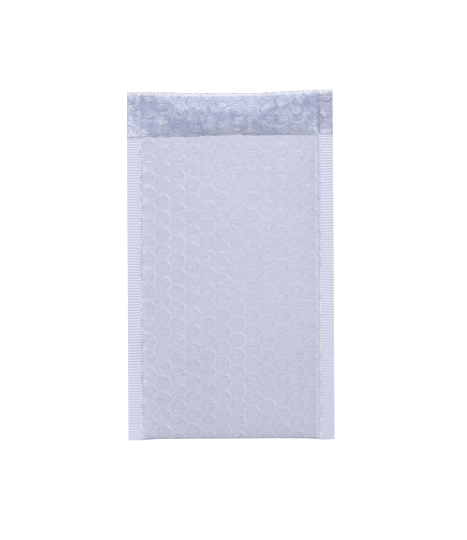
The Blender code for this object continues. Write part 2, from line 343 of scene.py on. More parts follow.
def marks_of(field, u, s):
    """What a material needs of each place: its bubble, its way from the centre, and the web."""
    away, across, along, chance = field
    return {
        "bubble": np.stack([away, chance[0], chance[1]], axis=-1),
        "spoke": np.stack([across * 1000, along * 1000, chance[2]], axis=-1),
        "web": np.stack([u, s, np.zeros_like(u)], axis=-1),
    }


# %% [markdown]
# ## Shader maths in plain Python
#
# A material is a graph of nodes. Writing `1 - mask` is easier to read than four lines that make
# a node and link it, so one small class wraps an output and adds a Math node for each operator.
# Every other node comes from one method, `node`. A finish is then painted like a picture:
# `glaze` lays thin colours over each other, and a mask says where each of them shows.

# %% Shader helpers
class Wire:
    """One output of a graph's nodes. An operator on it adds a Math node."""

    def __init__(self, graph, socket):
        self.graph = graph
        self.socket = socket

    def __add__(self, other):
        return self.graph.math("ADD", self, other)

    def __radd__(self, other):
        return self.graph.math("ADD", other, self)

    def __sub__(self, other):
        return self.graph.math("SUBTRACT", self, other)

    def __rsub__(self, other):
        return self.graph.math("SUBTRACT", other, self)

    def __mul__(self, other):
        return self.graph.math("MULTIPLY", self, other)

    def __rmul__(self, other):
        return self.graph.math("MULTIPLY", other, self)

    def __truediv__(self, other):
        return self.graph.math("DIVIDE", self, other)

    def __neg__(self):
        return self.graph.math("SUBTRACT", 0.0, self)

    def __abs__(self):
        return self.graph.math("ABSOLUTE", self)


class Graph:
    """The nodes of a material or of the world."""

    def __init__(self, tree):
        self.tree = tree

    def put(self, socket, value):
        """Links an output to a socket, or sets the socket's own value. A colour gets its alpha."""
        if isinstance(value, Wire):
            self.tree.links.new(value.socket, socket)
            return
        if isinstance(value, tuple) and len(value) < len(socket.default_value):
            value = (*value, 1.0)
        socket.default_value = value

    def node(self, kind, settings=None, values=None, output=0):
        """Adds a node, makes its settings, fills its sockets, and gives one output back."""
        made = self.tree.nodes.new(kind)
        for key, value in (settings or {}).items():
            setattr(made, key, value)
        for key, value in (values or {}).items():
            self.put(made.inputs[key], value)
        return Wire(self, made.outputs[output])

    def math(self, operation, *values):
        """A Math node on one, two or three values."""
        return self.node("ShaderNodeMath", {"operation": operation}, dict(enumerate(values)))

    def ease(self, value, low, high):
        """0 at low, 1 at high, smooth between."""
        limits = {"Value": value, "From Min": low, "From Max": high}
        return self.node("ShaderNodeMapRange", {"interpolation_type": "SMOOTHSTEP"}, limits)

    def mix(self, factor, first, second):
        """The first colour where the factor is 0, the second where it is 1."""
        colours = {0: factor, 6: first, 7: second}
        return self.node("ShaderNodeMix", {"data_type": "RGBA"}, colours, output=2)

    def glaze(self, colour, *layers):
        """Paints layers over a colour, one after the other. Each is a mask and its own colour."""
        for mask, paint in layers:
            colour = self.mix(mask, colour, paint)
        return colour

    def noise(self, vector, scale, detail=2.0, roughness=0.5):
        """Cloudy values around 0.5. The scale is in patches to the metre."""
        values = {"Vector": vector, "Scale": scale, "Detail": detail, "Roughness": roughness}
        return self.node("ShaderNodeTexNoise", {}, values)

    def patches(self, vector, scale, detail, low, high):
        """Soft patches of 0 and 1: a noise, eased between two of its values."""
        return self.ease(self.noise(vector, scale, detail), low, high)

    def vector(self, x, y, z=0.0):
        """Three numbers as one vector."""
        return self.node("ShaderNodeCombineXYZ", {}, {0: x, 1: y, 2: z})

    def parts(self, vector):
        """A vector's three numbers."""
        split = self.node("ShaderNodeSeparateXYZ", {}, {0: vector})
        return [Wire(self, output) for output in split.socket.node.outputs]


class Finish(Graph):
    """A material under construction, with its Principled shader."""

    def __init__(self, name, **constants):
        self.material = bpy.data.materials.new(name)
        self.material.use_nodes = True
        super().__init__(self.material.node_tree)
        self.shader = self.tree.nodes["Principled BSDF"]
        self.set(**constants)

    def set(self, **values):
        """Fills the shader's sockets, named with _ in place of each space."""
        for socket, value in values.items():
            self.put(self.shader.inputs[socket.replace("_", " ")], value)

    def bump(self, height, distance, strength=1.0):
        """Bends the normals by a height from about 0 to 1, which stands for a distance."""
        values = {"Height": height, "Distance": distance, "Strength": strength}
        self.set(Normal=self.node("ShaderNodeBump", {}, values))

    def done(self):
        """Gives the material, and says how large its graph is."""
        print(self.material.name, "has", len(self.tree.nodes), "nodes")
        return self.material


def marks(finish, name):
    """The three numbers that the mesh keeps under a name."""
    return finish.parts(finish.node("ShaderNodeAttribute", {"attribute_name": name}, output=1))


def near(finish, value, target, width):
    """1 where a value is at its target, and 0 at a width from it."""
    return 1.0 - finish.ease(abs(value - target), 0.0, width)


def arc(finish, at, radius, width, facing, low, high):
    """Part of a ring around a bubble: near a radius in mm, and facing one way."""
    return near(finish, at.away, radius, width) * finish.ease(facing, low, high)


def creases(finish, place, across, along, shift, fineness):
    """Thin wandering lines: the level line of a stretched noise."""
    x, y, _ = finish.parts(place)
    stretched = finish.vector(x * across, y * along, shift)
    return near(finish, finish.noise(stretched, 1.0, 1.0, 0.4), 0.5, fineness)


def look_up(finish):
    """What a material knows of each place on the envelope.

    place, x and y are the object's coordinates, and u and s the way across and along the web, in
    metres. The others tell of the nearest bubble: how far away its centre is, across and along
    in mm, right and below from -1 to 1, and three chances of its own.
    """
    place = finish.node("ShaderNodeTexCoord", output="Object")
    x, y, _ = finish.parts(place)
    u, s, _ = marks(finish, "web")
    away, first, second = marks(finish, "bubble")
    across, along, third = marks(finish, "spoke")
    at = SimpleNamespace(place=place, x=x, y=y, u=u, s=s, away=away, across=across, along=along)
    at.right, at.below = across / (away + 0.2), along / (away + 0.2)
    at.first, at.second, at.third = first, second, third
    return at


# %% [markdown]
# ## The pearly film
#
# The outer film is a milky plastic with a faint blue-violet cast. The rim of each bubble shows
# through as a thin dark ring, with painted shade on the shoulder's side away from the lamp and a
# painted highlight arc around it. The film is creased over the bubbles, mostly in arcs and short
# level lines, and its wrinkles carry painted light and shade. All of this is weak: a ring is only
# a few percent darker than the film. Beside the left weld the film is stretched, and painted
# paler as if lit on its slope; beside the right one it is gathered into short slanting tucks with
# painted shade and glints, on a strip painted paler. The film is also painted darker towards the
# bottom and at the fold, and with a dotted painted shadow along the flap's cut end.

# %% Film material
FILM_COLOUR = (0.550, 0.563, 0.710)
FILM_TOP = (0.546, 0.559, 0.709)
FILM_RIM = (0.360, 0.376, 0.545)
FILM_HALO = (0.850, 0.860, 0.940)
FILM_STRESSED = (0.800, 0.812, 0.905)
FILM_CREASED = (0.270, 0.262, 0.350)
BARE_FILM = (0.800, 0.810, 0.860)
CUT_EDGE = (0.260, 0.265, 0.330)
TUCKED = (0.250, 0.265, 0.400)
TUCK_REACH = 0.0025
SPECK_COLOUR = (0.05, 0.05, 0.07)
SPECK = (-0.01010, -0.01560)
SPECK_RADIUS = 0.00055
SOFT_SPOT = (-0.00690, -0.05300)
SOFT_SPOT_RADIUS = 0.0012


def spot(finish, x, y, centre, radius):
    """1 at a place on the film, 0 at a radius from it."""
    dx, dy = x - centre[0], y - centre[1]
    return 1.0 - finish.ease(finish.math("SQRT", dx * dx + dy * dy), 0.3 * radius, radius)


def film_rings(finish, at):
    """Adds the masks of a bubble's rim: a ring that opens below, where the shoulder faces the
    lamp, painted shade on the side away from it, a dark arc inside, and a painted highlight arc
    around it.

    The ring is strongest at the bottom and in the rightmost column, the painted highlight arc at
    the left.
    """
    tilt = at.third - 0.5
    at.lower = finish.ease(-at.y, 0.030, 0.105)
    # Painted shade: the ring fades below, where the shoulder faces the lower left lamp.
    open_below = 1.0 - 0.75 * finish.ease(at.below + 0.3 * tilt, 0.15, 0.90)
    at.rim = near(finish, at.away, RIM_MM, 0.27) * open_below
    at.rim = at.rim * (1.0 - 0.30 * finish.ease(at.right, 0.3, 0.9))
    strength = 0.60 + 0.10 * at.leftward + 0.24 * finish.ease(at.x - 0.5 * at.y, 0.055, 0.110)
    at.strength = strength + 0.42 * at.lower + 0.40 * finish.ease(at.x, 0.044, 0.052)
    facing = at.right - 0.4 * (at.first - 0.5)
    # Painted shade on the ring's side away from the lamp.
    at.sharp_side = arc(finish, at, RIM_MM + 0.05, 0.28, facing, 0.55, 1.00)
    at.left_side = at.rim * finish.ease(-at.right, 0.2, 0.9)
    radius = RIM_MM - 1.0 + 0.3 * at.second
    at.inner_arc = arc(finish, at, radius, 0.26, at.right - at.below * 0.5, 0.3, 0.9)
    # Painted highlight: a pale arc just outside the ring, mostly at its upper right.
    at.halo = near(finish, at.away, RIM_MM + 0.60, 0.25)
    upper_right = finish.ease(at.right * 0.97 - at.below * 0.24 - 0.2 * tilt, 0.40, 0.95)
    at.pale_arc = at.halo * (0.09 + upper_right * (0.38 + 1.35 * at.leftward))
    at.pale_arc = at.pale_arc * (1.0 - 0.45 * at.patchy) * (1.0 + 0.35 * at.lower)


def film_creases(finish, at):
    """Adds the masks of the creases over the bubbles, and of the strands between them. The stripes
    are painted light and shade of the wrinkles, and the bow line is painted shade in a crease.

    A bow is a line bent over a bubble: the way along, and a share of the way across squared.
    """
    bow = (at.along + (at.first - 0.35) * 0.09 * at.across * at.across) * 0.85
    wobble = finish.noise(finish.vector(at.x * 190.0, at.y * 330.0, at.third * 9.0), 1.0, 1.0)
    some = finish.patches(at.place, 150.0, 1.0, 0.36, 0.62)
    stripe = finish.math("SINE", bow * 3.3 + wobble * 16.0 + at.second * 6.0)
    at.stripes = stripe * at.inside * some
    fewer = finish.patches(at.place, 210.0, 1.0, 0.40, 0.58)
    at.bow_line = near(finish, bow + 4.0 * (wobble - 0.5) + 1.6 * (at.second - 0.5), 0.0, 0.34)
    at.bow_line = at.bow_line * at.inside * fewer
    at.dent = creases(finish, at.place, 230.0, 300.0, at.second * 30.0, 0.028)
    at.dent = at.dent * at.inside * finish.ease(at.third, 0.1, 0.7)
    at.fibres = finish.noise(finish.vector(at.x * 210.0, at.y * 820.0, 3.0), 1.0, 2.0) - 0.5
    gap = (1.0 - at.inside) * (1.0 - finish.ease(abs(at.across), 1.6, 3.2))
    at.strand = gap * near(finish, at.fibres, 0.10, 0.035) * finish.ease(at.second, 0.2, 0.7)


def film_ends(finish, at):
    """Adds the masks of the painted shade along the bottom fold, of the flap's bare end and of the
    dotted painted shadow along its cut.
    """
    around = (at.s - FRONT_RUN) / FOLD_ARC
    at.fold = finish.ease(around, 0.13, 0.24) * (1.0 - finish.ease(around, 0.55, 0.80))
    to_end = WEB_LENGTH - at.s
    at.bare = 1.0 - finish.ease(to_end, BARE_FILM_EDGE, BARE_FILM_EDGE + 0.0004)
    dots = finish.patches(finish.vector(at.x * 700.0, 0.0), 1.0, 1.0, 0.45, 0.60)
    at.cut = (1.0 - finish.ease(to_end, 0.0008, 0.0012)) * dots


def film_at_left_weld(finish, at):
    """Adds the masks of the stretched film, painted paler as if lit on its slope down to the weld,
    which reaches in unevenly, and of its fine rays.
    """
    from_weld = at.x + POCKET_HALF
    uneven = finish.patches(finish.vector(0.0, at.y), 135.0, 2.0, 0.36, 0.66)
    at.stretched = 1.0 - finish.ease(from_weld / (0.0006 + 0.0075 * uneven), 0.1, 1.0)
    slant = finish.vector((at.x + at.y) * 330.0, (at.y - at.x) * 900.0, 0.0)
    at.fleck = finish.patches(slant, 1.0, 2.0, 0.44, 0.62)
    spread = finish.vector((at.x - at.y) * 520.0, (at.x + at.y) * 130.0, 5.0)
    at.rays = near(finish, finish.noise(spread, 1.0, 1.0), 0.5, 0.030)
    at.rays = (1.0 - finish.ease(from_weld, 0.002, 0.011)) * at.rays


def film_at_right_weld(finish, at):
    """Adds the masks of the strip painted paler as if lit, and of the short slanting tucks in it,
    each a line of painted shade with a painted glint beside it.

    The way along a tuck goes from 0 to 1 in half a row of bubbles. A tuck's place across the
    strip follows it, so each one slants outwards on its way down.
    """
    from_weld = at.x - POCKET_HALF
    at.pale_strip = finish.ease(from_weld, -0.0040, -0.0008)
    higher = 0.35 + 0.65 * finish.ease(at.y, -0.040, 0.030)
    wander = finish.noise(finish.vector(2.0, at.y * 170.0), 1.0, 1.0)
    along_tuck = finish.math("FRACT", -at.y / (0.5 * ROW_PITCH) + 1.2 * wander)
    from_tuck = from_weld + TUCK_REACH - TUCK_REACH * along_tuck
    ends = finish.ease(along_tuck, 0.05, 0.25) * (1.0 - finish.ease(along_tuck, 0.70, 0.95))
    at.tuck = near(finish, from_tuck, 0.0, 0.00050) * ends * higher
    at.glint = near(finish, from_tuck, -0.0007, 0.00050) * ends * higher


def pearl_film():
    """The film's material: all its masks, then the layers of colour, then shade and relief."""
    finish = Finish("pearl_film", Roughness=0.36, IOR=1.46)
    at = look_up(finish)
    at.inside = 1.0 - finish.ease(at.away, RIM_MM - 0.7, RIM_MM + 0.1)
    at.patchy = finish.patches(at.place, 190.0, 1.0, 0.36, 0.64)
    at.leftward = 1.0 - finish.ease(at.x + 0.3 * at.y, -0.040, 0.030)
    for add_masks in (film_rings, film_creases, film_ends, film_at_left_weld, film_at_right_weld):
        add_masks(finish, at)
    colour = finish.glaze(
        FILM_COLOUR,
        (at.inside, FILM_TOP),
        # Painted shade along the ring and on its side away from the lamp.
        (at.rim * (0.48 + 0.50 * at.patchy) * at.strength, FILM_RIM),
        (at.sharp_side * at.leftward * 0.50, FILM_RIM),
        (at.left_side * at.leftward * 0.25, FILM_RIM),
        (at.inner_arc * 0.40 * (0.4 + at.first), FILM_RIM),
        # Painted highlight around the ring.
        (at.pale_arc, FILM_HALO),
        (at.dent * (0.03 + 0.20 * at.first), FILM_HALO),
        # Painted shade in a bow-shaped crease.
        (at.bow_line * (0.12 + 0.26 * at.third), FILM_RIM),
        (at.strand * 0.34, FILM_HALO),
        # Painted shade along the fold's underside.
        (at.fold * (0.45 + 0.35 * at.patchy), FILM_CREASED),
        (at.bare, BARE_FILM),
        # Painted shadow dots along the flap's cut end.
        (at.cut * 0.85, CUT_EDGE),
        # Partly painted light on the stretched film's slope towards the left weld.
        (at.stretched * (0.20 + 0.62 * at.fleck) * (1.0 - 0.45 * at.inside), FILM_STRESSED),
        # Painted light along the strip beside the right weld, painted shade in the tucks and a
        # painted glint beside each.
        (at.pale_strip * 0.42, FILM_HALO),
        (at.tuck * (0.40 + 0.45 * at.patchy), TUCKED),
        (at.glint * (0.90 - 0.50 * at.patchy), FILM_HALO),
        (at.rays * 0.50, FILM_STRESSED),
        (spot(finish, at.x, at.y, SPECK, SPECK_RADIUS), SPECK_COLOUR),
        (spot(finish, at.x, at.y, SOFT_SPOT, SOFT_SPOT_RADIUS) * 0.25, FILM_RIM),
    )
    cloud = finish.noise(at.place, 24.0, 3.0)
    grain = finish.noise(at.place, 650.0, 2.0)
    # Painted shade: each bubble's top darker towards its upper right, and the stripes lighter and
    # darker along the wrinkles.
    dome = (at.along * 0.8 - at.across * 0.5) * at.away * at.inside
    shade = 0.960 + 0.08 * cloud + 0.05 * (grain - 0.5) + 0.02 * (at.first - 0.5) * at.inside
    shade = shade + 0.065 * at.stripes + 0.22 * at.fibres + 0.0011 * dome
    # Painted shade: the film darker towards the bottom, where less of the lamps' light falls.
    shade = shade - 0.036 * finish.ease(-at.y, 0.015, 0.110) - 0.015 * at.inside * at.leftward
    tinted = finish.node("ShaderNodeVectorMath", {"operation": "SCALE"}, {0: colour, 3: shade})
    finish.set(Base_Color=tinted, Roughness=0.27 + 0.10 * cloud - 0.06 * at.halo)
    finish.bump(at.dent * 0.4 + at.stripes * 0.5 + at.fibres * 0.5 + grain * 0.08, 0.00010)
    return finish.done()


film_finish = pearl_film()


# %% [markdown]
# ## Front panel and bottom fold
#
# The front panel and the fold are one surface. Its rows run from the cut edge at the mouth down
# the front, round the fold in a half ellipse and stop under the envelope, where the back takes
# over. The cut edge isn't straight: on the left it lies lower, with a small pale tongue.

# %% Front panel
FRONT_SPACING = 0.00061
FILM_TAUT = 0.00026
FILM_RISE = 0.00026
FRONT_UNEVEN = 0.00025
PUCKER = 0.00016
MOUTH_FADE = 0.012
UNDERSIDE = 0.8 * FILM


def mouth_edge(x):
    """How far the front's cut edge lies above its nominal line: two steps, waves and a tongue."""
    steps_up = 0.0011 * smooth(x, -0.0240, -0.0160) - 0.0007 * smooth(-x, 0.0600, 0.0660)
    waves = 0.00015 * np.sin(x * 190 + 1.0) + 0.00010 * np.sin(x * 610)
    tongue = 0.0013 * np.exp(-(((x + 0.0212) / 0.0006) ** 2))
    return steps_up + waves + tongue - 0.0011


def mouth_shift(x, down):
    """The cut edge's shape, fading with the way down from the mouth."""
    return mouth_edge(x) * np.exp(-down / MOUTH_FADE)


def fold_depth(x):
    """How far the fold stands out past the fold line: most at its corners."""
    return FOLD_DEPTH + CORNER_REACH * (1.0 - swell(x, FRONT_SQUARENESS))


def wrapped(u, s, top, bottom, depth):
    """A sheet folded once: flat runs on the front and the back, a half ellipse between them."""
    turn = np.clip((s - FRONT_RUN) / FOLD_ARC, 0.0, 1.0) * math.pi
    y = MOUTH - np.minimum(s, FRONT_RUN) + np.maximum(s - FRONT_RUN - FOLD_ARC, 0.0)
    high, low = top(u, y), bottom(u, y)
    height = (high + low) / 2 + (high - low) / 2 * np.cos(turn)
    return np.stack([u, y - depth(u) * np.sin(turn), height], axis=-1)


def pucker(x, y):
    """Small tucks beside the seams, where the film is gathered into the weld."""
    beside = np.exp(-(POCKET_HALF - np.abs(x)) / 0.0020)
    lean = y + 0.6 * (POCKET_HALF - np.abs(x)) * np.sin(y * 143 + 1.0)
    waves = np.sin(lean * 1610 + 3.0 * np.sin(y * 230)) * (0.6 + 0.4 * np.sin(y * 377))
    waves += 0.8 * np.sin(lean * 2930 + 2.0 * np.sin(y * 410 + 1.0))
    return beside * PUCKER * waves


def film_slip(u):
    """How far the lining's pattern has slipped down behind the front, most at the left."""
    held = 0.0004 * np.exp(-(((u + 0.007) / 0.008) ** 2))
    return 0.0006 + 0.0010 * smooth(-u, 0.018, 0.040) - held


def film_drift(u, s):
    """How far the lining's pattern has drifted sideways: to the left, most at the upper right."""
    return -0.0004 - 0.0008 * smooth(u, 0.005, 0.058) * (1.0 - 0.6 * smooth(s, 0.090, 0.150))


def front_panel():
    """The folded sheet with its waves and tucks, raised along its normals by the bubbles."""
    u = even_steps(-POCKET_HALF, POCKET_HALF, FRONT_SPACING)
    s = even_steps(0.0, FRONT_RUN + FOLD_ARC, FRONT_SPACING)
    u, s = np.meshgrid(u, s)
    base = wrapped(u, s, front_valley, back_valley, fold_depth)
    flat = s < FRONT_RUN
    base[..., 2] += flat * FRONT_UNEVEN * ripple(u, s, 0.060, 3)
    base[..., 2] += pucker(u, s) * (1.0 - smooth(s, FRONT_RUN - 0.004, FRONT_RUN))
    base[..., 1] += mouth_shift(u, s)
    normal = grid_normals(base, (0, 0, 1))
    field = bubble_field(u - film_drift(u, s), s - film_slip(u))
    lift = FILM_TAUT + bubble_relief(field, FILM_RISE)
    lift *= 1.0 - 0.8 * smooth(s, FRONT_RUN - 0.001, FRONT_RUN + 0.25 * FOLD_ARC)
    outer = base + normal * (lift * smooth(swell(u, FRONT_SQUARENESS), 0.0, 0.5))[..., None]
    inner = (base - normal * UNDERSIDE)[::COARSE, ::COARSE]
    return shell("film_front", outer, inner, film_finish, **marks_of(field, u, s))


film_front = front_panel()


# %% [markdown]
# ## Back panel and flap
#
# The back lies on the ground on its bubble tops and runs on as the flap. Nobody sees it from
# above, so its grid is coarser. Its margins past the mouth come down to the ground.

# %% Back panel
BACK_SPACING = 0.00085
FLAP_RISE = 0.0016
BROW = 0.1135


def flap_edge(x):
    """How far the flap's cut end lies from its nominal line: lowest near the middle."""
    left = 0.0011 * smooth(-x, 0.012, 0.072)
    right = 0.0025 * smooth(x, 0.008, 0.078)
    return left + right - 0.0025 + 0.00012 * np.sin(x * 260) + 0.00008 * np.sin(x * 730)


def flap_stretch(x, y):
    """The flap's end edge, faded out towards the mouth."""
    return flap_edge(x) * np.clip((y - MOUTH) / FLAP_LENGTH, 0.0, 1.0) ** 3


def brow(x):
    """Where the flap is highest and turns down: a wavy line that nears the end at both sides."""
    sides = 0.0085 * smooth(x, 0.030, 0.052) + 0.0080 * smooth(-x, 0.034, 0.050)
    dip = 0.0035 * np.exp(-(((x + 0.014) / 0.007) ** 2))
    return BROW + sides - dip + 0.0008 * np.sin(x * 420 + 0.5)


def flap_arch(x, y):
    """The flap climbs from the mouth to its brow and falls from there to the ground."""
    top = brow(x)
    climb = np.clip((y - MOUTH) / (top - MOUTH), 0.0, 1.0)
    fall = np.clip((y - top) / (FLAP_END - top), 0.0, 1.0)
    height = FLAP_RISE * np.where(y < top, 1.0 - (1.0 - climb) ** 1.6, 1.0 - fall**1.25)
    return height * smooth(POCKET_HALF + 0.006 - np.abs(x), 0.0, 0.020)


def back_panel():
    """One flat grid from the fold to the flap's end, lowered by its bubbles to the ground."""
    x = even_steps(-HALF_WIDTH, HALF_WIDTH, BACK_SPACING)
    y = even_steps(FOLD_LINE, FLAP_END, BACK_SPACING)
    x, y = np.meshgrid(x, y)
    s = FRONT_RUN + FOLD_ARC + y - FOLD_LINE
    flat = swell(x, BACK_SQUARENESS)
    field = bubble_field(x, s)
    lift = bubble_relief(field, EMBOSS) * smooth(flat, 0.0, 0.5)
    lower = back_valley(x, y) - lift
    lower += flap_arch(x, y)
    upper = back_lining(x, y) + flap_arch(x, y)
    y = y + flap_stretch(x, y)
    outer = np.stack([x, y, np.maximum(lower, 0.0)], axis=-1)
    inner = np.stack([x, y, upper], axis=-1)[::COARSE, ::COARSE]
    return shell("film_back", outer, inner, film_finish, **marks_of(field, x, s))


film_back = back_panel()


# %% [markdown]
# ## Ribbed seams
#
# Hot jaws press both walls together and leave a row of fine ribs, two millimetres apart. Two
# films lie on each other there, so the seam is paler than the panel. Its ridges carry painted
# light and its valleys painted shade. On the left the ribs are crisp; on the right they fade
# towards the bottom. The last stretch at the fold is smooth.

# %% Seams
RIB_PITCH = 0.00196
RIB_DEPTH = 0.00050
RIB_CELLS = 12
SEAM_SPACING = 0.00062
SEAM_TUCK = 0.0007
SEAM_OVERLAP = 0.0010
SEAM_INSET = 0.00005
SEAM_UNEVEN = 0.00025
SEAM_VALLEY = (0.408, 0.428, 0.600)
SEAM_RIDGE = (0.862, 0.873, 0.985)
SEAM_CLOUD = (0.700, 0.715, 0.820)
SEAM_FLECK = (0.48, 0.49, 0.64)
SEAM_SMOOTH = (0.770, 0.785, 0.890)
SEAM_LINE = (0.930, 0.935, 0.975)
SEAM_TUCKED = (0.30, 0.32, 0.45)


def rib_depth(x, y):
    """Depth of the ribs: less at the fold, in soft patches, and low down on the right."""
    down = (MOUTH - y) / POCKET_LENGTH
    right = 0.85 - 0.45 * smooth(down, 0.35, 0.95)
    left = 1.0 - 0.25 * smooth(down, 0.6, 1.0)
    side = np.where(x > 0, right, left)
    patch = 0.80 + 0.20 * ripple(x, y, 0.035, 7)
    end = smooth(y, FOLD_LINE + 0.001, FOLD_LINE + 0.004)
    ragged = 0.00015 * np.sin(y * 1430) + 0.00015 * np.sin(y * 977 + 1.0)
    inner_end = smooth(np.abs(x) - POCKET_HALF + ragged, 0.0006, 0.0014)
    return RIB_DEPTH * side * patch * end * inner_end


def ribs(x, y):
    """A rounded wave along the seam, with a slight wander across it."""
    phase = 2 * math.pi * (MOUTH - y) / RIB_PITCH
    wander = 0.5 * np.sin(x * 420 + y * 35)
    wave = np.cos(phase + wander)
    return 0.5 * (wave - 0.25 * np.cos(2 * (phase + wander)))


def seam_finish():
    """Painted light on the ridges and painted shade in the valleys, and along the pocket a smooth
    strip with a broken line and painted shade in the crease at its edge.
    """
    finish = Finish("welded_film", Roughness=0.34, IOR=1.46)
    place = finish.node("ShaderNodeTexCoord", output="Object")
    x, y, _ = finish.parts(place)
    ridge = marks(finish, "rib")[0]
    cloud = finish.noise(place, 60.0, 3.0)
    fleck = finish.ease(finish.noise(place, 900.0, 2.0, 0.6), 0.62, 0.72)
    from_pocket = abs(x) - POCKET_HALF
    on_right = finish.ease(x, -0.01, 0.01)
    upper_right = on_right * finish.ease(y, -0.040, 0.030)
    worn = finish.ease(-y, 0.02, 0.12) * on_right
    unribbed = (1.0 - finish.ease(from_pocket, 0.0007, 0.0013)) * (1.0 - 0.5 * upper_right)
    patches = finish.patches(finish.vector(x * 300.0, y * 260.0), 1.0, 2.0, 0.38, 0.62)
    dashes = finish.patches(finish.vector(3.0, y * 620.0), 1.0, 1.0, 0.44, 0.54)
    light_line = near(finish, from_pocket, 0.0005, 0.0005) * dashes
    light_line = light_line * (on_right - 0.85 * upper_right)
    tucked = finish.patches(finish.vector(0.0, y * 420.0), 1.0, 2.0, 0.50, 0.62)
    inner_edge = near(finish, from_pocket, 0.0011, 0.0006)
    fold_line = near(finish, from_pocket, 0.0000, 0.0005)
    colour = finish.glaze(
        SEAM_VALLEY,
        # Painted light on the ridges and painted shade in the valleys.
        (ridge * 0.80 + 0.5, SEAM_RIDGE),
        (worn * 0.50, FILM_COLOUR),
        (cloud * 0.2, SEAM_CLOUD),
        (fleck * (0.30 + 0.35 * worn), SEAM_FLECK),
        (unribbed, finish.mix(patches, FILM_COLOUR, SEAM_SMOOTH)),
        (light_line * 0.85, SEAM_LINE),
        # Painted shade in the crease where the film meets the weld.
        (inner_edge * tucked * 0.65, SEAM_TUCKED),
        (fold_line * (1.0 - tucked) * 0.35, SEAM_TUCKED),
    )
    finish.set(Base_Color=colour, Roughness=0.30 + 0.12 * cloud)
    finish.bump(finish.noise(place, 700.0, 3.0), 0.00010, 0.6)
    return finish.done()


welded_finish = seam_finish()


def seam(name, side):
    """A closed strip, thinner at both ends: ribs on its upper face, weaker ribs underneath."""
    inner_edge, outer_edge = side * (POCKET_HALF - SEAM_TUCK), side * HALF_WIDTH
    low, high = FOLD_TIP + SEAM_INSET, MOUTH + SEAM_OVERLAP
    x = even_steps(inner_edge, outer_edge, SEAM_SPACING, 2)
    y = even_steps(high, low, RIB_PITCH / RIB_CELLS, 2)
    x, y = np.meshgrid(x, y)
    middle = SEAM_HEIGHT - droop(x) + SEAM_UNEVEN * ripple(x, y, 0.030, 11 + side)
    taper = 1.0 - 0.9 * smooth(y, MOUTH - 0.0002, high)
    nip = np.sqrt(np.clip((y - FOLD_TIP) / SEAM_NIP, 0.0, 1.0)) * taper
    wave = ribs(x, y) * rib_depth(x, y) * taper
    share = wave / RIB_DEPTH
    upper = middle + SEAM_THICKNESS / 2 * nip + wave
    lower = middle - SEAM_THICKNESS / 2 * nip + 0.5 * wave
    y = y + mouth_shift(x, np.maximum(MOUTH - y, 0.0))
    x = x + side * 0.00012 * ripple(x, y, 0.012, 5) * smooth(np.abs(x), POCKET_HALF, HALF_WIDTH)
    outer = np.stack([x, y, upper], axis=-1)
    inner = np.stack([x, y, lower], axis=-1)[::2, ::2]
    return shell(name, outer, inner, welded_finish, step=2, rib=np.stack([share, x, y], axis=-1))


seam_left = seam("seam_left", -1)
seam_right = seam("seam_right", 1)


# %% [markdown]
# ## Bubble film
#
# The liner shows on the flap: clear glossy film over bubbles, with the blue-grey inner face of
# the envelope behind it. Its colour is darker than the outside. It is creased across each
# bubble, and crushed in the margins beside the seams. Its rings, creases and crinkles carry
# painted highlights and painted shade, and it is painted darker below the hinge and in a band
# across the flap, and paler at the mouth.

# %% Bubble film material
LINER_DEEP = (0.298, 0.330, 0.520)
LINER_PALE = (0.440, 0.474, 0.654)
LINER_RIM = (0.205, 0.230, 0.365)
LINER_BRIGHT = (0.780, 0.800, 0.890)
LINER_CRUSHED = (0.300, 0.325, 0.505)
LINER_SEALED = (0.740, 0.755, 0.840)
LINER_QUIET = (0.200, 0.230, 0.400)
SEALED_WIDTH = 0.0030
HINGE = 0.0052
SUNK_BAND = -0.0256


def liner_rings(finish, at):
    """Adds the masks of a bubble's rim: a dark ring, one inside it, and two painted highlight arcs.
    """
    at.rim = near(finish, at.away, RIM_MM + 0.02, 0.24)
    within = RIM_MM - 0.75 - 0.7 * at.first
    at.inner_ring = arc(finish, at, within, 0.22, at.third - 0.3 * at.right, 0.2, 0.9)
    low_within = RIM_MM - 0.60 - 0.6 * at.second
    at.smile = arc(finish, at, low_within, 0.26, at.below + 0.5 * at.right, 0.25, 0.90)
    upper_right = at.right * 0.8 - at.below * 0.6
    at.outer_arc = arc(finish, at, RIM_MM + 0.50, 0.22, upper_right, -0.2, 0.9)


def liner_creases(finish, at):
    """Adds the masks of the creases over a bubble, with painted highlights and a line of painted
    shade, and of the long strands across the liner, painted as highlights.
    """
    bow = at.along + (at.first - 0.3) * 0.08 * at.across * at.across
    wobble = finish.noise(finish.vector(at.x * 170.0, at.y * 380.0, at.third * 9.0), 1.0, 1.0)
    wave = finish.math("SINE", bow * 3.6 + wobble * 12.0 + at.second * 6.0)
    stripe = finish.ease(wave, 0.40, 1.0)
    off_middle = abs(at.across + 2.0 * (at.first - 0.5))
    across_middle = 1.0 - finish.ease(off_middle, 1.4, 3.4)
    at.stripes = stripe * at.inside * across_middle * finish.ease(at.third, 0.05, 0.45)
    from_line = at.along + 0.12 * (at.first - 0.5) * at.across - (at.second - 0.5) * 1.4
    some = finish.ease(at.third, 0.12, 0.40)
    at.level_line = near(finish, from_line, 0.0, 0.22) * at.inside * some
    at.under_line = near(finish, from_line, 0.62, 0.34) * across_middle * some
    at.wander = creases(finish, at.place, 220.0, 280.0, at.second * 30.0, 0.030) * at.inside
    at.strand = creases(finish, at.place, 60.0, 150.0, 1.0, 0.018)
    at.strand = at.strand + creases(finish, at.place, 130.0, 75.0, 6.0, 0.018)


